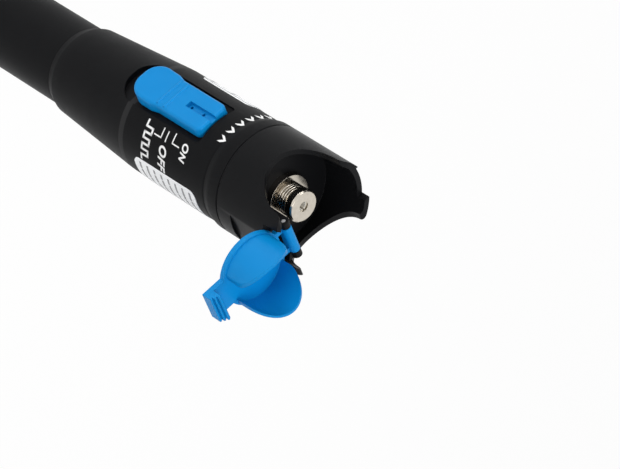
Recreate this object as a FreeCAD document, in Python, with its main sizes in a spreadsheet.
import FreeCAD, Part
import os
import Sketcher

# Visual fault locator: a torch-shaped fibre test light with a slide switch, a 2.5 mm ferrule port in a
# scalloped head and a hinged dust cap.  Lengths are in millimetres.  The tail face lies in the XY plane,
# +Z runs along the body to the port, the switch faces -Y and the cap hinge is on the +X side.

doc = FreeCAD.newDocument("VisualFaultLocator")
FreeCAD.setActiveDocument(doc.Name)

SIZES = [
    # outside of the body
    ("barrel_diameter", 23.9, "rear barrel, tail cap and waist"),
    ("shoulder_length", 3.0, "rounded shoulder between waist and cone"),
    ("shoulder_diameter", 26.1, "start of the cone"),
    ("cone_length", 31.8, "tapered part of the front housing"),
    ("cone_diameter", 30.8, "large end of the cone"),
    ("band_length", 2.0, "bevelled ring between cone and grip"),
    ("grip_diameter", 31.0, "straight grip that carries the switch"),
    ("grip_length", 32.7, "from the bevelled ring to the ring groove"),
    ("groove_length", 0.5, "fall of the ring groove"),
    ("groove_diameter", 30.7, "bottom of the ring groove"),
    ("collar_rise", 2.7, "flare from the ring groove to the head size"),
    ("collar_length", 3.3, "straight collar up to the seam"),
    ("head_diameter", 32.0, "outside of the head"),
    ("head_length", 23.5, "from the seam to the rim"),
    # walls and fits
    ("housing_wall", 1.8, "front housing wall"),
    ("head_wall", 1.6, "wall of the head's mouth"),
    ("barrel_wall", 2.2, "battery tube wall"),
    ("spigot_fit", 0.05, "radial clearance of spigots and threads"),
    ("slide_gap", 0.2, "gap between faces that slide"),
    ("swing_gap", 0.35, "gap round parts that swing"),
    ("seam_bevel", 0.3, "bevel that makes the seam line"),
    ("over_cut", 1.0, "how far a cutting shape runs past the face that it cuts"),
    # battery train
    ("cell_diameter", 14.5, "AA cell"),
    ("cell_length", 50.5, "AA cell with its button"),
    ("button_diameter", 5.5, "positive button of a cell"),
    ("button_height", 1.2, "positive button of a cell"),
    ("cell_clearance", 0.35, "radial room round a cell"),
    ("spring_height", 7.0, "tail spring under load"),
    ("spring_wire", 0.8, "tail spring wire diameter"),
    ("plate_thickness", 0.5, "tail contact plate"),
    ("contact_thickness", 0.4, "front contact and return strip"),
    ("contact_inset", 1.5, "front contact inside the edge of the cell"),
    ("rib_width", 1.2, "ribs that cradle the cells"),
    ("end_step", 0.4, "bore of the end rings outside the cell bore"),
    ("neck_relief", 0.1, "housing wall thinner at the neck"),
    ("spigot_length", 14.0, "front spigot of the battery tube"),
    ("spigot_gap", 0.5, "end clearance of that spigot"),
    ("ledge_thickness", 2.4, "ledge that stops the contact carrier"),
    ("carrier_thickness", 3.0, "contact carrier"),
    # tail cap
    ("tail_floor", 2.0, "end wall of the tail cap"),
    ("tail_cap_length", 15.0, "outside length of the tail cap"),
    ("tail_wall", 1.2, "thin wall round the cap's thread"),
    ("tail_bevel", 0.8, "bevelled edge of the tail face"),
    ("tail_land", 3.5, "room in the cap behind the tube's end"),
    ("ring_section", 1.0, "section of both O-rings"),
    ("seal_setback", 2.0, "O-rings from the nearest joint line"),
    ("cap_joint", 0.1, "joint line between tail cap and tube"),
    ("bore_taper", 2.0, "taper between the tube's end rings and its bore"),
    ("spring_diameter", 10.0, "mean diameter of the tail spring"),
    ("spring_turns", 3.0, "turns of the tail spring"),
    ("strip_inset", 0.3, "return strip outside the end rings' bore"),
    ("strip_width", 3.0, "return strip"),
    ("strip_back_room", 0.1, "room behind the return strip in its channel"),
    ("strip_side_room", 0.2, "room on each side of the return strip in its channel"),
    # head and port
    ("head_floor", 2.5, "floor of the head's mouth"),
    ("floor_height", 5.8, "underside of that floor above the seam"),
    ("head_spigot", 5.0, "skirt of the head inside the housing"),
    ("skirt_wall", 1.45, "wall of that skirt"),
    ("scallop_radius", 10.8, "round bottom of the finger scallops"),
    ("scallop_depth", 12.0, "scallop depth below the rim"),
    ("scallop_flare", 1.6, "rounded corners where scallops meet the rim"),
    ("latch_width", 11.6, "notch in the rim for the cap's tab"),
    ("hinge_offset", 9.3, "cap hinge axis from the body axis"),
    ("hinge_drop", 2.8, "cap hinge axis below the rim"),
    ("knuckle_width", 8.8, "cap knuckle between the lugs"),
    ("lug_width", 2.0, "each hinge lug along the pin"),
    ("lug_radius", 1.4, "rounded top of lugs and knuckle"),
    ("lug_height", 7.5, "lugs below the hinge axis"),
    ("pin_diameter", 1.2, "hinge pin"),
    ("pin_fit", 0.05, "radial running clearance on the pin"),
    ("pin_inset", 0.1, "pin ends inside the lugs"),
    ("flat_depth", 0.8, "flat on the head under the hinge"),
    ("flat_start", 5.5, "foot of that flat above the seam"),
    # dust cap
    ("cap_thickness", 1.6, "cap plate"),
    ("cap_seat", 0.3, "plate above the hinge axis when closed"),
    ("cap_diameter", 20.4, "cap plate between the prongs"),
    ("cap_offset", 3.4, "middle of the closed plate from the body axis, away from the hinge"),
    ("cap_room", 1.5, "room round the open plate in the head"),
    ("tongue_drop", 11.5, "length of the cap's side tongues"),
    ("tongue_root", 19.4, "tongue diameter at the plate"),
    ("tongue_tip", 18.8, "tongue diameter at the tip"),
    ("tongue_wall", 0.8, "tongue thickness"),
    ("tongue_width", 16.0, "tongue along the finger scallop"),
    ("pocket_length", 1.6, "opening between the knuckle and the plate"),
    ("arm_width", 1.4, "arms between the knuckle and the plate"),
    ("tab_width", 8.8, "thumb tab"),
    ("tab_reach", 5.3, "thumb tab beyond the plate"),
    ("tab_drop", 3.2, "lowest thumb ridge below the plate"),
    ("tab_step", 0.7, "each thumb ridge below the next one out"),
    ("tab_pitch", 0.85, "thumb ridge to thumb ridge"),
    ("tab_groove", 0.2, "gap between the thumb ridges"),
    ("tab_groove_depth", 0.35, "gap between the thumb ridges"),
    # port adapter
    ("ferrule_diameter", 2.5, "bore of the ceramic sleeve"),
    ("sleeve_diameter", 3.2, "outside of the ceramic sleeve"),
    ("sleeve_length", 10.0, "ceramic sleeve"),
    ("sleeve_slit", 0.4, "slit along the sleeve"),
    ("flange_diameter", 12.8, "adapter flange"),
    ("flange_thickness", 2.0, "adapter flange"),
    ("thread_diameter", 8.9, "outside thread of the port"),
    ("thread_length", 3.4, "outside thread of the port"),
    ("nose_diameter", 9.2, "plain ring at the port's mouth"),
    ("nose_length", 2.3, "plain ring at the port's mouth"),
    ("nose_bevel", 0.4, "bevel at the port's mouth"),
    ("lip_diameter", 2.9, "mouth of the port"),
    ("lip_length", 0.8, "lip that keeps the sleeve in"),
    ("stem_diameter", 8.0, "adapter stem through the floor"),
    ("stem_extra", 0.5, "stem beyond its nut"),
    ("nut_flats", 11.0, "port nut across flats"),
    ("nut_thickness", 3.0, "port nut"),
    ("washer_diameter", 13.0, "port washer"),
    ("washer_thickness", 0.6, "port washer"),
    ("nozzle_diameter", 6.0, "adapter nozzle inside the laser barrel"),
    ("nozzle_length", 5.4, "adapter nozzle"),
    ("laser_gap", 0.3, "laser barrel under the driver board"),
    ("beam_diameter", 1.8, "light path through the adapter"),
    # laser
    ("laser_length", 21.0, "laser barrel"),
    ("stop_diameter", 4.0, "aperture in front of the lens"),
    ("stop_length", 2.0, "aperture in front of the lens"),
    ("lens_thickness", 2.5, "focus lens at its rim"),
    ("lens_bulge", 0.5, "crown of each lens face"),
    ("crown_inset", 0.1, "edge of the crowns inside the aperture"),
    ("spacer_length", 3.5, "lens spacer"),
    ("spacer_wall", 0.5, "lens spacer"),
    ("can_diameter", 4.7, "diode can"),
    ("can_length", 2.3, "diode can"),
    ("base_thickness", 1.2, "diode base"),
    ("lead_diameter", 0.45, "diode leads"),
    ("lead_length", 6.0, "diode leads"),
    ("lead_circle", 2.0, "circle of the diode leads"),
    ("retainer_length", 2.5, "ring behind the diode"),
    ("lead_room", 0.2, "room round the leads in that ring"),
    # switch and board
    ("recess_depth", 2.2, "switch recess below the grip's surface"),
    ("recess_floor", 1.4, "floor under the switch recess"),
    ("recess_width", 14.0, "switch recess across the body"),
    ("recess_corner", 6.0, "rear corners of the recess"),
    ("recess_front_corner", 1.2, "front corners of the recess"),
    ("recess_front", 12.4, "front end of the recess behind the seam"),
    ("knob_length", 28.8, "slide knob"),
    ("knob_width", 11.8, "rear part of the knob"),
    ("knob_nose_width", 10.6, "front part of the knob"),
    ("knob_corner", 5.0, "rear corners of the knob"),
    ("knob_nose_corner", 2.0, "front corners of the knob"),
    ("knob_room", 0.6, "room between the knob and either end of the recess"),
    ("knob_top", 1.3, "front part above the grip's surface"),
    ("knob_crest", 2.6, "height that the thumb scoop trims at the rear"),
    ("knob_scoop", 90.0, "radius of the thumb scoop"),
    ("knob_waist", 17.5, "rear end of the narrow part from the knob's front"),
    ("knob_step", 2.4, "length over which the knob narrows"),
    ("knob_shoulder", 3.0, "soft corners where the knob narrows"),
    ("knob_edge", 0.9, "rounded top edges"),
    ("ridge_front", 14.8, "front thumb ridge behind the knob's front"),
    ("ridge_pitch", 2.7, "distance between the two thumb ridges"),
    ("ridge_radius", 0.5, "round top of the thumb ridges"),
    ("ridge_height", 0.3, "thumb ridges above the knob"),
    ("ridge_inset", 0.7, "ridge ends from the sides of the nose"),
    ("slot_width", 2.0, "slot in the knob's nose"),
    ("slot_length", 9.9, "slot in the knob's nose"),
    ("slot_depth", 1.1, "slot in the knob's nose"),
    ("vent_diameter", 0.9, "holes in the slot's floor"),
    ("vent_rear", 8.8, "rear hole behind the knob's front"),
    ("vent_front", 4.0, "front hole behind the knob's front"),
    ("knob_travel", 4.2, "slide from the front stop to the rear stop"),
    ("stem_width", 3.0, "knob stem across the body"),
    ("stem_length", 4.8, "knob stem along the body"),
    ("slider_length", 9.0, "slider plate along the body"),
    ("slider_width", 7.0, "slider plate across the body"),
    ("slider_thickness", 0.8, "slider plate"),
    ("lever_size", 1.9, "square lever of the switch"),
    ("lever_fit", 0.05, "clearance of the lever in the slider and above the switch"),
    ("switch_gap", 0.8, "slider plate above the switch"),
    ("switch_length", 12.7, "slide switch along the body"),
    ("switch_width", 4.4, "slide switch across the body"),
    ("switch_height", 3.5, "slide switch above the board"),
    ("board_thickness", 1.6, "driver board"),
    ("board_width", 21.0, "driver board"),
    ("board_length", 38.0, "driver board"),
    ("board_front", 9.0, "front end of the board behind the seam"),
    ("part_height", 1.6, "parts soldered on the board"),
    ("chip_size", 5.0, "drive chip"),
    ("chip_side", -6.5, "drive chip's low edge from the middle line"),
    ("chip_back", 12.0, "drive chip behind the board's front"),
    ("coil_size", 4.0, "coil"),
    ("coil_side", 4.2, "coil's low edge from the middle line"),
    ("coil_back", 11.0, "coil behind the board's front"),
    ("fuse_size", 3.2, "fuse"),
    ("fuse_side", 5.0, "fuse's low edge from the middle line"),
    ("fuse_back", 30.5, "fuse behind the board's front"),
    ("rail_height", 1.4, "rails that carry the board"),
    ("rail_bite", 0.7, "rail under each edge of the board"),
    # labels
    ("label_thickness", 0.12, "both labels"),
    ("label_corner", 2.2, "rounded corners of the labels"),
    ("lower_label_length", 25.3, "label on the hinge side, along the body"),
    ("lower_label_angle", 62.0, "label on the hinge side, round the body"),
    ("lower_label_turn", 76.0, "from the switch to that label's first edge"),
    ("lower_label_front", 9.5, "front end behind the seam"),
    ("upper_label_length", 20.0, "label on the far side, along the body"),
    ("upper_label_angle", 52.0, "label on the far side, round the body"),
    ("upper_label_turn", 47.5, "from the switch to that label's first edge"),
    ("upper_label_front", 13.5, "front end behind the seam"),
]

sheet = doc.addObject("Spreadsheet::Sheet", "Dims")
for row, (alias, value, note) in enumerate(SIZES, start=1):
    sheet.set(f"A{row}", alias)
    sheet.set(f"B{row}", str(value))
    sheet.set(f"C{row}", note)
    sheet.setAlias(f"B{row}", alias)
doc.recompute()


def dim(alias):
    """Expression for one named size."""
    return f"Dims.{alias}"


def half(alias):
    """Expression for half of one named size, such as the radius of a diameter."""
    return f"(Dims.{alias} / 2)"


# ------------------------------------------------------------------------------------------------
# Builders shared by the pieces
# ------------------------------------------------------------------------------------------------

def origin_plane(body, role):
    return next(f for f in body.Origin.OriginFeatures if f.Role == role)


def closed_sketch(body, name, role, points):
    """Closed outline whose corners are tied to the sheet; points are pairs of expressions."""
    sketch = body.newObject("Sketcher::SketchObject", name)
    sketch.AttachmentSupport = [(origin_plane(body, role), "")]
    sketch.MapMode = "FlatFace"
    count = len(points)
    for i in range(count):
        a = FreeCAD.Vector(10.0 + i, 3.0 * i * i + 1.0, 0)
        b = FreeCAD.Vector(11.0 + i, 3.0 * (i + 1) * (i + 1) + 1.0, 0)
        sketch.addGeometry(Part.LineSegment(a, b), False)
    for i in range(count):
        sketch.addConstraint(Sketcher.Constraint("Coincident", i, 2, (i + 1) % count, 1))
    for i, (across, along) in enumerate(points):
        for kind, axis, value in (("DistanceX", -2, across), ("DistanceY", -1, along)):
            if value == "0":
                sketch.addConstraint(Sketcher.Constraint("PointOnObject", i, 1, axis))
                continue
            index = sketch.addConstraint(Sketcher.Constraint(kind, -1, 1, i, 1, 10.0 + i))
            sketch.setExpression(f"Constraints[{index}]", value)
    return sketch


def turned(label, points):
    """Piece turned about the body axis from an outline of (radius, height) corners."""
    body = doc.addObject("PartDesign::Body", label)
    sketch = closed_sketch(body, f"{label}_outline", "XZ_Plane", points)
    turn = body.newObject("PartDesign::Revolution", f"{label}_turn")
    turn.Profile = sketch
    turn.ReferenceAxis = (sketch, ["V_Axis"])
    turn.Angle = 360.0
    sketch.Visibility = False
    body.Tip = turn
    return body


def tie(piece, **expressions):
    """Ties properties to the sheet; x, y and z stand for the piece's place."""
    for name, expression in expressions.items():
        target = f"Placement.Base.{name}" if name in ("x", "y", "z") else name
        piece.setExpression(target, expression)
    return piece


def rod(label, radius, height, x="0", y="0", z="0", axis="Z"):
    """Cylinder that starts at (x, y, z) and runs along +Z, +X or +Y."""
    piece = doc.addObject("Part::Cylinder", label)
    turns = {"Z": FreeCAD.Rotation(),
             "X": FreeCAD.Rotation(FreeCAD.Vector(0, 1, 0), 90),
             "Y": FreeCAD.Rotation(FreeCAD.Vector(1, 0, 0), -90)}
    piece.Placement = FreeCAD.Placement(FreeCAD.Vector(), turns[axis])
    return tie(piece, Radius=radius, Height=height, x=x, y=y, z=z)


def block(label, length, width, height, x, y, z):
    """Box with its low corner at (x, y, z)."""
    piece = doc.addObject("Part::Box", label)
    return tie(piece, Length=length, Width=width, Height=height, x=x, y=y, z=z)


def centred(label, width_x, depth_y, height_z, y, z):
    """Box centred on X = 0 with its low Y and low Z faces at y and z."""
    return block(label, width_x, depth_y, height_z, f"-({width_x}) / 2", y, z)


def joined(label, pieces):
    fusion = doc.addObject("Part::MultiFuse", label)
    fusion.Shapes = pieces
    return fusion


def shared(label, pieces):
    overlap = doc.addObject("Part::MultiCommon", label)
    overlap.Shapes = pieces
    return overlap


def cut(label, base, tool):
    piece = doc.addObject("Part::Cut", label)
    piece.Base = base
    piece.Tool = tool
    return piece


def rounded(label, base, radius_for):
    """Fillets edges of base; radius_for(edge) gives the name of a radius, or None to leave the edge."""
    doc.recompute()
    picked = []
    for index, edge in enumerate(base.Shape.Edges, start=1):
        alias = radius_for(edge)
        if alias:
            radius = float(sheet.get(alias))
            picked.append((index, radius, radius))
    piece = doc.addObject("Part::Fillet", label)
    piece.Base = base
    piece.Edges = picked
    return piece


def runs_along(edge, axis):
    """True for a straight edge parallel to X, Y or Z."""
    if edge.Curve.TypeId != "Part::GeomLine":
        return False
    direction = edge.tangentAt(edge.FirstParameter)
    return abs(getattr(direction, axis)) > 0.999


# ------------------------------------------------------------------------------------------------
# Heights along the body, worked out from the battery train upwards
# ------------------------------------------------------------------------------------------------

PLATE_TOP = f"({dim('tail_floor')} + {dim('plate_thickness')})"
CELLS_START = f"({PLATE_TOP} + {dim('spring_height')})"
CELLS_END = f"({CELLS_START} + 2 * {dim('cell_length')})"
CARRIER_BACK = f"({CELLS_END} + {dim('contact_thickness')})"
LEDGE_BACK = f"({CARRIER_BACK} - {dim('ledge_thickness')})"
SPIGOT_END = f"({LEDGE_BACK} - {dim('spigot_gap')})"
WAIST = f"({SPIGOT_END} - {dim('spigot_length')})"
CONE_START = f"({WAIST} + {dim('shoulder_length')})"
CONE_END = f"({CONE_START} + {dim('cone_length')})"
GRIP_START = f"({CONE_END} + {dim('band_length')})"
GRIP_END = f"({GRIP_START} + {dim('grip_length')})"
GROOVE_END = f"({GRIP_END} + {dim('groove_length')})"
COLLAR_START = f"({GROOVE_END} + {dim('collar_rise')})"
SEAM = f"({COLLAR_START} + {dim('collar_length')})"
FLOOR_BACK = f"({SEAM} + {dim('floor_height')})"
FLOOR_FRONT = f"({FLOOR_BACK} + {dim('head_floor')})"
RIM = f"({SEAM} + {dim('head_length')})"

BARREL = half("barrel_diameter")
GRIP_BORE = f"({half('grip_diameter')} - {dim('housing_wall')})"
CONE_BORE = f"({half('cone_diameter')} - {dim('housing_wall')})"
CONE_SLOPE = f"(({half('cone_diameter')} - {half('shoulder_diameter')}) / {dim('cone_length')})"
CARRIER_ROOM = (f"({half('shoulder_diameter')} - {dim('housing_wall')}"
                f" + {CONE_SLOPE} * ({CARRIER_BACK} - {CONE_START}))")
CELL_BORE = f"({half('cell_diameter')} + {dim('cell_clearance')})"
END_BORE = f"({CELL_BORE} + {dim('end_step')})"
NECK_SPIGOT = f"({BARREL} - {dim('housing_wall')} + {dim('neck_relief')})"
NECK_BORE = f"({NECK_SPIGOT} + {dim('spigot_fit')})"
THREAD = f"({BARREL} - {dim('tail_wall')})"
OVER = dim("over_cut")

# ------------------------------------------------------------------------------------------------
# Front housing: one moulding with the waist, the cone, the grip and the flared collar
# ------------------------------------------------------------------------------------------------

housing_turn = turned("housing_turn", [
    (NECK_BORE, WAIST), (BARREL, WAIST), (half("shoulder_diameter"), CONE_START),
    (half("cone_diameter"), CONE_END), (half("grip_diameter"), GRIP_START),
    (half("grip_diameter"), GRIP_END), (half("groove_diameter"), GROOVE_END),
    (half("head_diameter"), COLLAR_START),
    (half("head_diameter"), f"{SEAM} - {dim('seam_bevel')}"),
    (f"{half('head_diameter')} - {dim('seam_bevel')}", SEAM),
    (GRIP_BORE, SEAM), (GRIP_BORE, GRIP_START), (CONE_BORE, CONE_END), (CARRIER_ROOM, CARRIER_BACK),
    (END_BORE, CARRIER_BACK), (END_BORE, LEDGE_BACK), (NECK_BORE, LEDGE_BACK),
])

RECESS_LEVEL = f"({half('grip_diameter')} - {dim('recess_depth')})"
RECESS_INSIDE = f"({RECESS_LEVEL} - {dim('recess_floor')})"
RECESS_FRONT = f"({SEAM} - {dim('recess_front')})"
RECESS_LENGTH = f"({dim('knob_length')} + {dim('knob_travel')} + 2 * {dim('knob_room')})"
RECESS_BACK = f"({RECESS_FRONT} - {RECESS_LENGTH})"
KNOB_FRONT = f"({RECESS_FRONT} - {dim('knob_room')})"
KNOB_BACK = f"({KNOB_FRONT} - {dim('knob_length')})"
KNOB_MIDDLE = f"({KNOB_FRONT} - {half('knob_length')})"
SWITCH_MIDDLE = f"({KNOB_MIDDLE} - {half('knob_travel')})"
BOARD_TOP = (f"({RECESS_INSIDE} - {dim('slide_gap')} - {dim('slider_thickness')}"
             f" - {dim('switch_gap')} - {dim('switch_height')})")
BOARD_UNDER = f"({BOARD_TOP} - {dim('board_thickness')})"
BOARD_FRONT = f"({SEAM} - {dim('board_front')})"

# solid inside the housing's outside by half a wall; it trims the slab and the rails
INTO_WALL = half("housing_wall")
housing_core = turned("housing_core", [
    ("0", CARRIER_BACK), (f"({CARRIER_ROOM} + {INTO_WALL})", CARRIER_BACK),
    (f"({CONE_BORE} + {INTO_WALL})", CONE_END), (f"({GRIP_BORE} + {INTO_WALL})", GRIP_START),
    (f"({GRIP_BORE} + {INTO_WALL})", SEAM), ("0", SEAM)])

# floor slab under the switch recess
slab = centred("recess_slab", f"({dim('recess_width')} + 2 * {dim('recess_floor')})",
               f"({half('grip_diameter')} - {RECESS_INSIDE})", f"({RECESS_LENGTH} + {dim('recess_floor')})",
               f"-{half('grip_diameter')}", f"{RECESS_BACK} - {dim('recess_floor')}")
slab_fit = shared("slab_fit", [slab, housing_core])

# rails that carry the driver board by its long edges
rail_width = f"({GRIP_BORE} - {half('board_width')} + {dim('rail_bite')})"
rails = []
for side, x in (("left", f"-{half('board_width')} + {dim('rail_bite')} - {rail_width}"),
                ("right", f"{half('board_width')} - {dim('rail_bite')}")):
    rails.append(block(f"rail_{side}", rail_width, dim("rail_height"), dim("board_length"),
                       x, f"-{BOARD_UNDER}", f"{BOARD_FRONT} - {dim('board_length')}"))
rail_fit = shared("rail_fit", [joined("rail_pair", rails), housing_core])

# the recess itself: round rear corners, small front corners
recess_raw = centred("recess_raw", dim("recess_width"), f"(2 * {dim('recess_depth')})",
                     RECESS_LENGTH, f"-{RECESS_LEVEL} - 2 * {dim('recess_depth')}", RECESS_BACK)
doc.recompute()
recess_middle = recess_raw.Shape.CenterOfMass.z


def recess_radius(edge):
    if not runs_along(edge, "y"):
        return None
    return "recess_corner" if edge.CenterOfMass.z < recess_middle else "recess_front_corner"


recess = rounded("recess", recess_raw, recess_radius)
stem_slot = centred("stem_slot", f"({dim('stem_width')} + 2 * {dim('slide_gap')})",
                    f"({dim('recess_floor')} + 2 * {OVER})",
                    f"({dim('stem_length')} + {dim('knob_travel')} + 2 * {dim('slide_gap')})",
                    f"-{RECESS_LEVEL} - {OVER}",
                    f"{SWITCH_MIDDLE} - {half('stem_length')} - {half('knob_travel')} - {dim('slide_gap')}")
front_housing = cut("front_housing", joined("housing_solid", [housing_turn, slab_fit, rail_fit]),
                    joined("housing_cuts", [recess, stem_slot]))

# ------------------------------------------------------------------------------------------------
# Head shell: a cup with two finger scallops, a latch notch and two hinge lugs
# ------------------------------------------------------------------------------------------------

HEAD = half("head_diameter")
MOUTH = f"({HEAD} - {dim('head_wall')})"
SKIRT = f"({GRIP_BORE} - {dim('spigot_fit')})"
STEM_HOLE = f"({half('stem_diameter')} + {dim('spigot_fit')})"
head_turn = turned("head_turn", [
    (SKIRT, f"{SEAM} - {dim('head_spigot')}"), (SKIRT, SEAM),
    (f"{HEAD} - {dim('seam_bevel')}", SEAM), (HEAD, f"{SEAM} + {dim('seam_bevel')}"),
    (HEAD, RIM), (MOUTH, RIM), (MOUTH, FLOOR_FRONT), (STEM_HOLE, FLOOR_FRONT), (STEM_HOLE, FLOOR_BACK),
    (f"{SKIRT} - {dim('skirt_wall')}", FLOOR_BACK),
    (f"{SKIRT} - {dim('skirt_wall')}", f"{SEAM} - {dim('head_spigot')}"),
])

SCALLOP_AXIS = f"({RIM} - {dim('scallop_depth')} + {dim('scallop_radius')})"
FLARE_HALF = f"({dim('scallop_radius')} + {dim('scallop_flare')})"
across_head = f"({dim('head_diameter')} + 2 * {OVER})"
flare_block = centred("flare_block", f"(2 * {FLARE_HALF})", across_head, f"({dim('scallop_flare')} + {OVER})",
                      f"-{HEAD} - {OVER}", f"{RIM} - {dim('scallop_flare')}")
flare_corners = joined("flare_corners", [
    rod(f"flare_corner_{side}", dim("scallop_flare"), f"({across_head} + 2 * {OVER})", x=f"{sign}{FLARE_HALF}",
        y=f"-{HEAD} - 2 * {OVER}", z=f"{RIM} - {dim('scallop_flare')}", axis="Y")
    for side, sign in (("left", "-"), ("right", ""))])
scallop = joined("scallop", [
    rod("scallop_round", dim("scallop_radius"), across_head, y=f"-{HEAD} - {OVER}", z=SCALLOP_AXIS, axis="Y"),
    centred("scallop_straight", f"(2 * {dim('scallop_radius')})", across_head,
            dim("scallop_radius"), f"-{HEAD} - {OVER}", SCALLOP_AXIS),
    cut("scallop_flares", flare_block, flare_corners)])
head_prongs = cut("head_prongs", head_turn, scallop)

HINGE_X = dim("hinge_offset")
HINGE_Z = f"({RIM} - {dim('hinge_drop')})"
LUG_INNER = f"({half('knuckle_width')} + {dim('slide_gap')})"
lugs = []
for side, y in (("near", f"-({LUG_INNER} + {dim('lug_width')})"), ("far", LUG_INNER)):
    lugs.append(rod(f"lug_top_{side}", dim("lug_radius"), dim("lug_width"), x=HINGE_X, y=y, z=HINGE_Z,
                    axis="Y"))
    lugs.append(block(f"lug_web_{side}", f"({MOUTH} + {half('head_wall')} - {HINGE_X} + {dim('lug_radius')})",
                      dim("lug_width"), dim("lug_height"), f"{HINGE_X} - {dim('lug_radius')}", y,
                      f"{HINGE_Z} - {dim('lug_height')}"))
lug_fit = shared("lug_fit", [joined("lug_pair", lugs), rod(
    "lug_limit", f"({MOUTH} + {half('head_wall')})", f"({dim('lug_height')} + {dim('lug_radius')} + {OVER})",
    z=f"{HINGE_Z} - {dim('lug_height')}")])

CAP_UNDER = f"({HINGE_Z} + {dim('cap_seat')})"
CAP_TOP = f"({CAP_UNDER} + {dim('cap_thickness')})"
CAP_X = f"-{dim('cap_offset')}"
CAP_OPEN_X = f"(2 * {HINGE_X} + {dim('cap_offset')})"
NOTCH_BOTTOM = f"(2 * {HINGE_Z} - {CAP_TOP} - {dim('swing_gap')})"
NOTCH_HEIGHT = f"({RIM} - {NOTCH_BOTTOM} + {dim('head_wall')})"
hinge_notch = block("hinge_notch", f"({HEAD} - {HINGE_X} + {dim('lug_radius')} + {dim('head_wall')})",
                    f"(2 * {LUG_INNER})", NOTCH_HEIGHT, f"{HINGE_X} - {dim('lug_radius')}", f"-{LUG_INNER}",
                    NOTCH_BOTTOM)
plate_room = rod("plate_room", f"({half('cap_diameter')} + {dim('cap_room')})", NOTCH_HEIGHT, x=CAP_OPEN_X,
                 z=NOTCH_BOTTOM)
LATCH_BOTTOM = f"({CAP_UNDER} - {dim('swing_gap')})"
latch_notch = block("latch_notch", f"(3 * {dim('head_wall')})", dim("latch_width"),
                    f"(2 * ({RIM} - {LATCH_BOTTOM}))", f"-{HEAD} - {half('head_wall')}",
                    f"-{half('latch_width')}", LATCH_BOTTOM)
hinge_flat = block("hinge_flat", f"(2 * {dim('flat_depth')})", dim("head_diameter"), dim("head_length"),
                   f"{HEAD} - {dim('flat_depth')}", f"-{HEAD}", f"{SEAM} + {dim('flat_start')}")
PIN_HALF = f"({LUG_INNER} + {dim('lug_width')})"
pin_hole = rod("pin_hole", half("pin_diameter"), f"(2 * {PIN_HALF} + 2 * {OVER})", x=HINGE_X,
               y=f"-{PIN_HALF} - {OVER}", z=HINGE_Z, axis="Y")
head_shell = cut("head_shell", joined("head_solid", [head_prongs, lug_fit]),
                 joined("head_cuts", [hinge_notch, plate_room, latch_notch, hinge_flat, pin_hole]))

hinge_pin = rod("hinge_pin", half("pin_diameter"), f"(2 * ({PIN_HALF} - {dim('pin_inset')}))", x=HINGE_X,
                y=f"-{PIN_HALF} + {dim('pin_inset')}", z=HINGE_Z, axis="Y")

# ------------------------------------------------------------------------------------------------
# Dust cap, drawn closed on the rim and then turned half round its hinge to the open position
# ------------------------------------------------------------------------------------------------

CAP_EDGE = half("cap_diameter")
TONGUE_END = f"({CAP_UNDER} - {dim('tongue_drop')})"
plate = rod("cap_plate", CAP_EDGE, dim("cap_thickness"), x=CAP_X, z=CAP_UNDER)
tongue_outside = doc.addObject("Part::Cone", "tongue_outside")
tie(tongue_outside, Radius1=half("tongue_tip"), Radius2=half("tongue_root"), Height=dim("tongue_drop"),
    x=CAP_X, z=TONGUE_END)
tongue_inside = doc.addObject("Part::Cone", "tongue_inside")
tie(tongue_inside, Radius1=f"{half('tongue_tip')} - {dim('tongue_wall')}",
    Radius2=f"{half('tongue_root')} - {dim('tongue_wall')}", Height=dim("tongue_drop"), x=CAP_X, z=TONGUE_END)
tongue_shape = joined("tongue_shape", [
    rod("tongue_round", half("tongue_width"), dim("cap_diameter"), x=CAP_X, y=f"-{CAP_EDGE}",
        z=f"{TONGUE_END} + {half('tongue_width')}", axis="Y"),
    block("tongue_straight", dim("tongue_width"), dim("cap_diameter"), dim("tongue_drop"),
          f"{CAP_X} - {half('tongue_width')}", f"-{CAP_EDGE}", f"{TONGUE_END} + {half('tongue_width')}")])
tongues = shared("tongues", [cut("tongue_shell", tongue_outside, tongue_inside), tongue_shape])

# the knuckle bar is carried by two arms, with an opening between them
KNUCKLE_INNER = f"({HINGE_X} - {dim('lug_radius')})"
ARM_ROOM = f"({half('knuckle_width')} - {dim('arm_width')})"
knuckle = joined("knuckle", [
    rod("knuckle_round", dim("lug_radius"), dim("knuckle_width"), x=HINGE_X,
        y=f"-{half('knuckle_width')}", z=HINGE_Z, axis="Y"),
    block("knuckle_arm", f"({HINGE_X} - {CAP_X})", dim("knuckle_width"), dim("cap_thickness"),
          CAP_X, f"-{half('knuckle_width')}", CAP_UNDER)])
knuckle_pocket = block("knuckle_pocket", dim("pocket_length"), f"(2 * {ARM_ROOM})",
                       f"(2 * {dim('cap_thickness')})", f"{KNUCKLE_INNER} - {dim('pocket_length')}",
                       f"-{ARM_ROOM}", f"{CAP_UNDER} - {half('cap_thickness')}")

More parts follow.
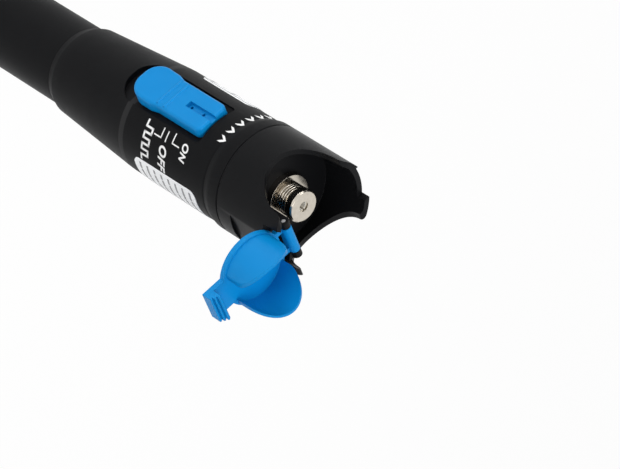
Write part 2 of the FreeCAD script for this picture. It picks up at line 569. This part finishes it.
# thumb tab with three rounded ridges across its hooked end, each lower than the next one out
TAB_END = f"({CAP_X} - {CAP_EDGE} - {dim('tab_reach')})"
tab = block("tab_block", f"({dim('tab_reach')} + {CAP_EDGE})", dim("tab_width"), dim("cap_thickness"),
            TAB_END, f"-{half('tab_width')}", CAP_UNDER)
TAB_RIDGE = f"(({dim('tab_pitch')} - {dim('tab_groove')}) / 2)"
tab_ridges = []
for index in range(3):
    drop = f"({dim('tab_drop')} - {2 - index} * {dim('tab_step')})"
    tab_ridges += [
        block(f"tab_foot_{index}", dim("tab_pitch"), dim("tab_width"),
              f"({drop} - {dim('tab_groove_depth')} + {half('cap_thickness')})",
              f"{TAB_END} + {index} * {dim('tab_pitch')}", f"-{half('tab_width')}",
              f"{CAP_UNDER} - {drop} + {dim('tab_groove_depth')}"),
        rod(f"tab_ridge_{index}", TAB_RIDGE, dim("tab_width"),
            x=f"{TAB_END} + {TAB_RIDGE} + {index} * {dim('tab_pitch')}", y=f"-{half('tab_width')}",
            z=f"{CAP_UNDER} - {drop} + {TAB_RIDGE}", axis="Y")]
cap_solid = joined("cap_solid", [plate, tongues, knuckle, tab] + tab_ridges)
cap_bore = rod("cap_bore", f"({half('pin_diameter')} + {dim('pin_fit')})",
               f"({dim('knuckle_width')} + 2 * {OVER})", x=HINGE_X,
               y=f"-{half('knuckle_width')} - {OVER}", z=HINGE_Z, axis="Y")
dust_cap = cut("dust_cap", cap_solid, joined("cap_cuts", [cap_bore, knuckle_pocket]))

# ------------------------------------------------------------------------------------------------
# Port: nickel-plated adapter, ceramic split sleeve, washer and nut
# ------------------------------------------------------------------------------------------------

STEM_END = (f"({FLOOR_BACK} - {dim('washer_thickness')} - {dim('nut_thickness')}"
            f" - {dim('stem_extra')})")
FLANGE_FRONT = f"({FLOOR_FRONT} + {dim('flange_thickness')})"
THREAD_FRONT = f"({FLANGE_FRONT} + {dim('thread_length')})"
NOSE = f"({THREAD_FRONT} + {dim('nose_length')})"
SLEEVE_FRONT = f"({NOSE} - {dim('lip_length')})"
SLEEVE_BACK = f"({SLEEVE_FRONT} - {dim('sleeve_length')})"
SLEEVE_POCKET = f"({half('sleeve_diameter')} + {dim('spigot_fit')} / 2)"
NOZZLE_END = f"({STEM_END} - {dim('nozzle_length')})"
port_adapter = turned("port_adapter", [
    (half("beam_diameter"), NOZZLE_END), (half("nozzle_diameter"), NOZZLE_END),
    (half("nozzle_diameter"), STEM_END), (half("stem_diameter"), STEM_END),
    (half("stem_diameter"), FLOOR_FRONT), (half("flange_diameter"), FLOOR_FRONT),
    (half("flange_diameter"), FLANGE_FRONT), (half("thread_diameter"), FLANGE_FRONT),
    (half("thread_diameter"), THREAD_FRONT), (half("nose_diameter"), THREAD_FRONT),
    (half("nose_diameter"), f"{NOSE} - {dim('nose_bevel')}"),
    (f"{half('nose_diameter')} - {dim('nose_bevel')}", NOSE),
    (half("lip_diameter"), NOSE), (half("lip_diameter"), SLEEVE_FRONT),
    (SLEEVE_POCKET, SLEEVE_FRONT), (SLEEVE_POCKET, SLEEVE_BACK), (half("beam_diameter"), SLEEVE_BACK),
])

sleeve_tube = cut("sleeve_tube",
                  rod("sleeve_outside", half("sleeve_diameter"), dim("sleeve_length"), z=SLEEVE_BACK),
                  rod("sleeve_bore", half("ferrule_diameter"), f"({dim('sleeve_length')} + 2 * {OVER})",
                      z=f"{SLEEVE_BACK} - {OVER}"))
ceramic_sleeve = cut("ceramic_sleeve", sleeve_tube,
                     centred("sleeve_cut", dim("sleeve_slit"), dim("sleeve_diameter"),
                             f"({dim('sleeve_length')} + 2 * {OVER})", "0", f"{SLEEVE_BACK} - {OVER}"))

WASHER_BACK = f"({FLOOR_BACK} - {dim('washer_thickness')})"
port_washer = cut("port_washer",
                  rod("washer_disc", half("washer_diameter"), dim("washer_thickness"), z=WASHER_BACK),
                  rod("washer_hole", STEM_HOLE, f"({dim('washer_thickness')} + 2 * {OVER})",
                      z=f"{WASHER_BACK} - {OVER}"))
nut_hex = doc.addObject("Part::Prism", "nut_hex")
nut_hex.Polygon = 6
tie(nut_hex, Circumradius=f"{dim('nut_flats')} / sqrt(3)", Height=dim("nut_thickness"),
    z=f"{WASHER_BACK} - {dim('nut_thickness')}")
port_nut = cut("port_nut", nut_hex, rod("nut_hole", STEM_HOLE, f"({dim('nut_thickness')} + 2 * {OVER})",
                                        z=f"{WASHER_BACK} - {dim('nut_thickness')} - {OVER}"))

# ------------------------------------------------------------------------------------------------
# Laser: brass barrel on the adapter's nozzle, with lens, spacer, diode and retaining ring
# ------------------------------------------------------------------------------------------------

LASER_BACK = f"({STEM_END} - {dim('laser_length')})"
NOZZLE_BORE = f"({half('nozzle_diameter')} + {dim('spigot_fit')})"
LENS_FRONT = f"({NOZZLE_END} - {dim('stop_length')})"
LENS_BACK = f"({LENS_FRONT} - {dim('lens_thickness')})"
SPACER_BACK = f"({LENS_BACK} - {dim('spacer_length')})"
BASE_BACK = f"({SPACER_BACK} - {dim('base_thickness')})"
OPTIC = half("nozzle_diameter")
LASER = f"({BOARD_UNDER} - {dim('laser_gap')})"
laser_barrel = turned("laser_barrel", [
    (NOZZLE_BORE, LASER_BACK), (LASER, LASER_BACK), (LASER, STEM_END),
    (NOZZLE_BORE, STEM_END), (NOZZLE_BORE, NOZZLE_END), (half("stop_diameter"), NOZZLE_END),
    (half("stop_diameter"), LENS_FRONT), (NOZZLE_BORE, LENS_FRONT),
])
crown = f"(({half('stop_diameter')} ^ 2 + {dim('lens_bulge')} ^ 2) / (2 * {dim('lens_bulge')}))"
crowns = []
for side, z in (("front", f"{LENS_FRONT} + {dim('lens_bulge')} - {crown}"),
                ("back", f"{LENS_BACK} - {dim('lens_bulge')} + {crown}")):
    ball = doc.addObject("Part::Sphere", f"lens_ball_{side}")
    crowns.append(tie(ball, Radius=crown, z=z))
lens_core = rod("lens_core", f"{half('stop_diameter')} - {dim('crown_inset')}",
                f"({dim('lens_thickness')} + 2 * {dim('lens_bulge')})", z=f"{LENS_BACK} - {dim('lens_bulge')}")
focus_lens = joined("focus_lens", [rod("lens_rim", OPTIC, dim("lens_thickness"), z=LENS_BACK),
                                   shared("lens_crowns", [lens_core] + crowns)])
lens_spacer = cut("lens_spacer", rod("spacer_outside", OPTIC, dim("spacer_length"), z=SPACER_BACK),
                  rod("spacer_bore", f"{OPTIC} - {dim('spacer_wall')}",
                      f"({dim('spacer_length')} + 2 * {OVER})", z=f"{SPACER_BACK} - {OVER}"))
leads = []
for name, x, y in (("a", half("lead_circle"), "0"), ("b", f"-{half('lead_circle')}", "0"),
                   ("c", "0", f"-{half('lead_circle')}")):
    leads.append(rod(f"diode_lead_{name}", half("lead_diameter"), dim("lead_length"), x=x, y=y,
                     z=f"{BASE_BACK} - {dim('lead_length')}"))
laser_diode = joined("laser_diode", [rod("diode_base", OPTIC, dim("base_thickness"), z=BASE_BACK),
                                     rod("diode_can", half("can_diameter"), dim("can_length"), z=SPACER_BACK)]
                     + leads)
RETAINER_BACK = f"({BASE_BACK} - {dim('retainer_length')})"
diode_retainer = cut("diode_retainer",
                     rod("retainer_outside", OPTIC, dim("retainer_length"), z=RETAINER_BACK),
                     rod("retainer_bore",
                         f"{half('lead_circle')} + {dim('lead_diameter')} + {dim('lead_room')}",
                         f"({dim('retainer_length')} + 2 * {OVER})", z=f"{RETAINER_BACK} - {OVER}"))

# ------------------------------------------------------------------------------------------------
# Switch: driver board with its slide switch, and the knob that moves the switch's lever
# ------------------------------------------------------------------------------------------------

driver_board = centred("driver_board", dim("board_width"), dim("board_thickness"), dim("board_length"),
                       f"-{BOARD_TOP}", f"{BOARD_FRONT} - {dim('board_length')}")
SWITCH_TOP = f"({BOARD_TOP} + {dim('switch_height')})"
switch_body = centred("switch_body", dim("switch_width"), dim("switch_height"), dim("switch_length"),
                      f"-{SWITCH_TOP}", f"{SWITCH_MIDDLE} - {half('switch_length')}")
board_parts = joined("board_parts", [
    block(f"board_{name}", dim(f"{name}_size"), dim("part_height"), dim(f"{name}_size"), dim(f"{name}_side"),
          f"-{BOARD_TOP} - {dim('part_height')}", f"{BOARD_FRONT} - {dim(f'{name}_back')}")
    for name in ("chip", "coil", "fuse")])

SLIDER_TOP = f"({RECESS_INSIDE} - {dim('slide_gap')})"
SLIDER_UNDER = f"({SLIDER_TOP} - {dim('slider_thickness')})"
slider_plate = centred("slider_plate", dim("slider_width"), dim("slider_thickness"), dim("slider_length"),
                       f"-{SLIDER_TOP}", f"{KNOB_MIDDLE} - {half('slider_length')}")
LEVER_HOLE = f"({dim('lever_size')} + 2 * {dim('lever_fit')})"
lever_hole = centred("lever_hole", LEVER_HOLE, f"({dim('slider_thickness')} + 2 * {OVER})", LEVER_HOLE,
                     f"-{SLIDER_TOP} - {OVER}", f"{KNOB_MIDDLE} - {LEVER_HOLE} / 2")
knob_slider = cut("knob_slider", slider_plate, lever_hole)
switch_lever = centred("switch_lever", dim("lever_size"),
                       f"({SLIDER_TOP} - {SWITCH_TOP} - {dim('lever_fit')})", dim("lever_size"),
                       f"-{SLIDER_TOP}", f"{KNOB_MIDDLE} - {half('lever_size')}")

KNOB_UNDER = f"({RECESS_LEVEL} + {dim('slide_gap')})"
KNOB_TOP = f"({half('grip_diameter')} + {dim('knob_top')})"
KNOB_CREST = f"({half('grip_diameter')} + {dim('knob_crest')})"
knob_body = doc.addObject("PartDesign::Body", "knob_body")
KNOB_STEP = f"({KNOB_FRONT} - {dim('knob_waist')})"
knob_plan = closed_sketch(knob_body, "knob_plan", "XZ_Plane", [
    (half("knob_nose_width"), KNOB_FRONT), (f"-{half('knob_nose_width')}", KNOB_FRONT),
    (f"-{half('knob_nose_width')}", KNOB_STEP), (f"-{half('knob_width')}", f"{KNOB_STEP} - {dim('knob_step')}"),
    (f"-{half('knob_width')}", KNOB_BACK), (half("knob_width"), KNOB_BACK),
    (half("knob_width"), f"{KNOB_STEP} - {dim('knob_step')}"), (half("knob_nose_width"), KNOB_STEP)])
knob_pad = knob_body.newObject("PartDesign::Pad", "knob_pad")
knob_pad.Profile = knob_plan
knob_pad.setExpression("Length", KNOB_CREST)
knob_pad.Reversed = False

doc.recompute()
knob_ends = (knob_pad.Shape.BoundBox.ZMin, knob_pad.Shape.BoundBox.ZMax)


def knob_radius(edge):
    """Rear corners, front corners and the soft shoulders of the knob's plan."""
    if not runs_along(edge, "y"):
        return None
    z = edge.CenterOfMass.z
    if abs(z - knob_ends[0]) < 1e-4:
        return "knob_corner"
    return "knob_nose_corner" if abs(z - knob_ends[1]) < 1e-4 else "knob_shoulder"


knob_round = rounded("knob_round", knob_body, knob_radius)
RIDGE_FRONT = f"({KNOB_FRONT} - {dim('ridge_front')})"
TRIM = f"(2 * {dim('knob_crest')})"
knob_wide = f"({dim('knob_width')} + 2 * {OVER})"
knob_low = centred("knob_low", knob_wide, f"({KNOB_UNDER} + {OVER})", f"({dim('knob_length')} + 2 * {OVER})",
                   f"-{KNOB_UNDER}", f"{KNOB_BACK} - {OVER}")
knob_deck = centred("knob_deck", knob_wide, TRIM, f"({dim('ridge_front')} + {OVER})",
                    f"-{KNOB_TOP} - {TRIM}", RIDGE_FRONT)
knob_scoop = rod("knob_scoop", dim("knob_scoop"), knob_wide, x=f"-{knob_wide} / 2",
                 y=f"-{KNOB_TOP} - {dim('knob_scoop')}", z=RIDGE_FRONT, axis="X")
knob_form = cut("knob_form", knob_round, joined("knob_cuts", [knob_low, knob_deck, knob_scoop]))
doc.recompute()
deck_level = -(float(sheet.get("grip_diameter")) / 2 + float(sheet.get("knob_top")))


def top_edge_radius(edge):
    """Rim of the knob's top, but not the line where the scoop leaves the deck."""
    low = max(vertex.Point.y for vertex in edge.Vertexes)
    inner = all(abs(abs(vertex.Point.x)) > 1e-6 for vertex in edge.Vertexes)
    across = runs_along(edge, "x") and knob_ends[0] + 1 < edge.CenterOfMass.z < knob_ends[1] - 1
    return "knob_edge" if low < deck_level + 1e-3 and inner and not across else None


knob_soft = rounded("knob_soft", knob_form, top_edge_radius)
RIDGE_HALF = f"({half('knob_nose_width')} - {dim('ridge_inset')})"
ridges = []
for i in range(2):
    ridges.append(rod(f"ridge_{i}", dim("ridge_radius"), f"(2 * {RIDGE_HALF})",
                      x=f"-{RIDGE_HALF}",
                      y=f"-{KNOB_TOP} + {dim('ridge_radius')} - {dim('ridge_height')}",
                      z=f"{RIDGE_FRONT} - {i} * {dim('ridge_pitch')}", axis="X"))
stem = centred("stem", dim("stem_width"), f"({KNOB_UNDER} - {SLIDER_TOP} + {OVER})", dim("stem_length"),
               f"-{KNOB_UNDER} - {OVER}", f"{KNOB_MIDDLE} - {half('stem_length')}")
slot = centred("slot", dim("slot_width"), TRIM, f"({dim('slot_length')} + 2 * {OVER})",
               f"-{KNOB_TOP} + {dim('slot_depth')} - {TRIM}", f"{KNOB_FRONT} - {dim('slot_length')}")
vents = []
for name in ("vent_rear", "vent_front"):
    vents.append(rod(f"{name}_hole", half("vent_diameter"), f"(2 * {dim('slot_depth')})", y=f"-{KNOB_TOP}",
                     z=f"{KNOB_FRONT} - {dim(name)}", axis="Y"))
switch_knob = cut("switch_knob", joined("knob_solid", [knob_soft, stem] + ridges),
                  joined("knob_openings", [slot] + vents))

# ------------------------------------------------------------------------------------------------
# Battery tube with cradle ribs, the cells, and the contacts at both ends
# ------------------------------------------------------------------------------------------------

TUBE_END = f"({dim('tail_floor')} + {dim('tail_land')})"
CAP_JOINT = f"({dim('tail_cap_length')} + {dim('cap_joint')})"
TUBE_BORE = f"({BARREL} - {dim('barrel_wall')})"
BORE_BACK = f"({CAP_JOINT} + {dim('bore_taper')})"
BORE_FRONT = f"({WAIST} - {dim('bore_taper')})"
SEAL_WIDTH = f"({dim('ring_section')} + {dim('slide_gap')})"
SEAL_DEPTH = f"({dim('ring_section')} + {dim('spigot_fit')})"
TAIL_SEAL = f"({dim('tail_cap_length')} - {dim('seal_setback')})"
NECK_SEAL = f"({WAIST} + {dim('seal_setback')})"


def seal_groove(radius, height):
    """Corners of an O-ring groove in a spigot, from low to high."""
    low, high = f"{height} - {SEAL_WIDTH} / 2", f"{height} + {SEAL_WIDTH} / 2"
    floor = f"{radius} - {SEAL_DEPTH}"
    return [(radius, low), (floor, low), (floor, high), (radius, high)]


tube_turn = turned("tube_turn", [(END_BORE, TUBE_END), (THREAD, TUBE_END)]
                   + seal_groove(THREAD, TAIL_SEAL) + [
    (THREAD, CAP_JOINT), (f"{BARREL} - {dim('seam_bevel')}", CAP_JOINT),
    (BARREL, f"{CAP_JOINT} + {dim('seam_bevel')}"), (BARREL, WAIST), (NECK_SPIGOT, WAIST),
] + seal_groove(NECK_SPIGOT, NECK_SEAL) + [
    (NECK_SPIGOT, SPIGOT_END), (END_BORE, SPIGOT_END), (END_BORE, BORE_FRONT),
    (TUBE_BORE, f"{BORE_FRONT} - {dim('bore_taper')}"), (TUBE_BORE, f"{BORE_BACK} + {dim('bore_taper')}"),
    (END_BORE, BORE_BACK),
])
RIB_RUN = f"({BORE_FRONT} - {BORE_BACK})"
rib_span = f"(2 * {TUBE_BORE} + {dim('barrel_wall')})"
rib_cross = joined("rib_cross", [
    centred("rib_y", dim("rib_width"), rib_span, RIB_RUN, f"-{rib_span} / 2", BORE_BACK),
    centred("rib_x", rib_span, dim("rib_width"), RIB_RUN, f"-{half('rib_width')}", BORE_BACK)])
rib_ring = cut("rib_ring", rod("rib_outside", f"({TUBE_BORE} + {half('barrel_wall')})", RIB_RUN, z=BORE_BACK),
               rod("rib_inside", CELL_BORE, f"({RIB_RUN} + 2 * {OVER})", z=f"{BORE_BACK} - {OVER}"))
ribs = shared("ribs", [rib_cross, rib_ring])


def strip_block(label, inner, thickness, width, low, height):
    """Flat box beside the cells, turned between two ribs."""
    piece = block(label, thickness, width, height, "0", "0", low)
    turn = FreeCAD.Rotation(FreeCAD.Vector(0, 0, 1), 45)
    piece.Placement = FreeCAD.Placement(FreeCAD.Vector(), turn)
    tie(piece, x=f"({inner} + {width} / 2) * sqrt(0.5)", y=f"({inner} - {width} / 2) * sqrt(0.5)", z=low)
    return piece


STRIP_INNER = f"({END_BORE} + {dim('strip_inset')})"
CHANNEL_DEPTH = f"({STRIP_INNER} - {CELL_BORE} + {dim('contact_thickness')} + {dim('strip_back_room')})"
strip_channel = strip_block("strip_channel", CELL_BORE, CHANNEL_DEPTH,
                            f"({dim('strip_width')} + 2 * {dim('strip_side_room')})", f"{TUBE_END} - {OVER}",
                            f"({SPIGOT_END} - {TUBE_END} + 2 * {OVER})")
battery_tube = cut("battery_tube", joined("tube_solid", [tube_turn, ribs]), strip_channel)
return_strip = strip_block("return_strip", STRIP_INNER, dim("contact_thickness"), dim("strip_width"),
                           f"{PLATE_TOP} + {half('cap_joint')}",
                           f"({LEDGE_BACK} - {PLATE_TOP} - {half('cap_joint')})")

for name, back in (("rear_cell", CELLS_START), ("front_cell", f"({CELLS_START} + {dim('cell_length')})")):
    shoulder = f"{back} + {dim('cell_length')} - {dim('button_height')}"
    button_end = f"{back} + {dim('cell_length')}"
    turned(name, [("0", back), (half("cell_diameter"), back), (half("cell_diameter"), shoulder),
                  (half("button_diameter"), shoulder), (half("button_diameter"), button_end),
                  ("0", button_end)])

front_contact = rod("front_contact", f"{half('cell_diameter')} - {dim('contact_inset')}",
                    dim("contact_thickness"), z=CELLS_END)
contact_carrier = cut("contact_carrier",
                      rod("carrier_disc", f"({CARRIER_ROOM} - {dim('slide_gap')})", dim("carrier_thickness"),
                          z=CARRIER_BACK),
                      rod("carrier_hole", half("button_diameter"), f"({dim('carrier_thickness')} + 2 * {OVER})",
                          z=f"{CARRIER_BACK} - {OVER}"))


def o_ring(label, outside, middle):
    """Rubber ring with an eight-sided section, from its outside radius and the height of its middle."""
    centre = f"({outside} - {half('ring_section')})"
    reach, flat = half("ring_section"), f"({half('ring_section')} * tan(22.5))"
    corners = [("", reach, "", flat), ("", flat, "", reach), ("-", flat, "", reach), ("-", reach, "", flat),
               ("-", reach, "-", flat), ("-", flat, "-", reach), ("", flat, "-", reach), ("", reach, "-", flat)]
    return turned(label, [(f"{centre} + {out}{across}", f"{middle} + {rise}{along}")
                          for out, across, rise, along in corners])


o_ring("neck_o_ring", NECK_SPIGOT, NECK_SEAL)

# ------------------------------------------------------------------------------------------------
# Tail cap, its O-ring, contact plate and spring
# ------------------------------------------------------------------------------------------------

tail_cap = turned("tail_cap", [
    ("0", "0"), (f"{BARREL} - {dim('tail_bevel')}", "0"), (BARREL, dim("tail_bevel")),
    (BARREL, f"{dim('tail_cap_length')} - {dim('seam_bevel')}"),
    (f"{BARREL} - {dim('seam_bevel')}", dim("tail_cap_length")),
    (f"{THREAD} + {dim('spigot_fit')}", dim("tail_cap_length")),
    (f"{THREAD} + {dim('spigot_fit')}", dim("tail_floor")), ("0", dim("tail_floor")),
])
o_ring("tail_o_ring", THREAD, TAIL_SEAL)
tail_contact = rod("tail_contact", f"({THREAD} - {dim('spigot_fit')})", dim("plate_thickness"),
                   z=dim("tail_floor"))
coil = doc.addObject("Part::Helix", "spring_path")
COIL_RUN = f"({dim('spring_height')} - {dim('spring_wire')})"
tie(coil, Radius=half("spring_diameter"), Height=COIL_RUN, Pitch=f"{COIL_RUN} / {dim('spring_turns')}")
wire = doc.addObject("Part::RegularPolygon", "spring_section")
wire.Polygon = 6
wire.Placement = FreeCAD.Placement(FreeCAD.Vector(), FreeCAD.Rotation(FreeCAD.Vector(1, 0, 0), 90))
tie(wire, Circumradius=half("spring_wire"), x=half("spring_diameter"))
tail_spring = doc.addObject("Part::Sweep", "tail_spring")
tail_spring.Sections = [wire]
tail_spring.Spine = coil
tail_spring.Solid = True
tail_spring.Frenet = True
tie(tail_spring, z=f"{PLATE_TOP} + {half('spring_wire')}")

# ------------------------------------------------------------------------------------------------
# Labels: thin films wrapped round the grip
# ------------------------------------------------------------------------------------------------


def wrapped_film(label, angle, middle, length, front):
    """Film on the grip with rounded corners; middle is the angle from +X to its middle line."""
    start = f"{SEAM} - {front} - {length}"
    outside = f"({half('grip_diameter')} + {dim('label_thickness')})"
    ring = cut(f"{label}_ring", rod(f"{label}_outside", outside, length, z=start),
               rod(f"{label}_inside", half("grip_diameter"), length, z=start))
    chord = f"(2 * {outside} * sin({angle} / 2))"
    window = rounded(f"{label}_window", block(f"{label}_sheet", f"({outside} + {OVER})", chord, length,
                                              "0", f"-{chord} / 2", start),
                     lambda edge: "label_corner" if runs_along(edge, "x") else None)
    window.Placement = FreeCAD.Placement(FreeCAD.Vector(), FreeCAD.Rotation(FreeCAD.Vector(0, 0, 1), 1))
    window.setExpression("Placement.Rotation.Angle", middle)
    return shared(label, [ring, window])


lower_label = wrapped_film("lower_label", dim("lower_label_angle"),
                           f"{dim('lower_label_turn')} + {half('lower_label_angle')} - 90",
                           dim("lower_label_length"), dim("lower_label_front"))
upper_label = wrapped_film("upper_label", dim("upper_label_angle"),
                           f"-90 - {dim('upper_label_turn')} - {half('upper_label_angle')}",
                           dim("upper_label_length"), dim("upper_label_front"))

# the open cap is the closed one turned half round the hinge axis
dust_cap.Placement = FreeCAD.Placement(FreeCAD.Vector(), FreeCAD.Rotation(FreeCAD.Vector(0, 1, 0), 180))
tie(dust_cap, x=f"2 * {HINGE_X}", z=f"2 * {HINGE_Z}")

# ------------------------------------------------------------------------------------------------
# Check every object, then write one STEP file for each piece
# ------------------------------------------------------------------------------------------------

NODES = [
    "front_housing", "head_shell", "hinge_pin", "dust_cap",
    "port_adapter", "ceramic_sleeve", "port_washer", "port_nut",
    "laser_barrel", "focus_lens", "lens_spacer", "laser_diode", "diode_retainer",
    "driver_board", "board_parts", "switch_body", "switch_lever", "knob_slider", "switch_knob",
    "battery_tube", "return_strip", "rear_cell", "front_cell", "front_contact", "contact_carrier", "neck_o_ring",
    "tail_cap", "tail_contact", "tail_spring", "tail_o_ring", "lower_label", "upper_label",
]

doc.recompute()
for item in doc.Objects:
    if {"Invalid", "Error"} & set(item.State):
        raise RuntimeError(f"{item.Label} did not build: {item.State}")
os.makedirs("parts", exist_ok=True)
for node in NODES:
    piece = doc.getObjectsByLabel(node)[0]
    shape = piece.Shape
    if shape.isNull() or not shape.isValid() or not shape.Solids:
        raise RuntimeError(f"{node} has no sound solid")
    box = shape.BoundBox
    print(f"{node:16s} solids {len(shape.Solids)}  volume {shape.Volume:9.2f}  x {box.XMin:7.2f} {box.XMax:7.2f}"
          f"  y {box.YMin:7.2f} {box.YMax:7.2f}  z {box.ZMin:7.2f} {box.ZMax:7.2f}")
    shape.exportStep(f"parts/{node}.step")
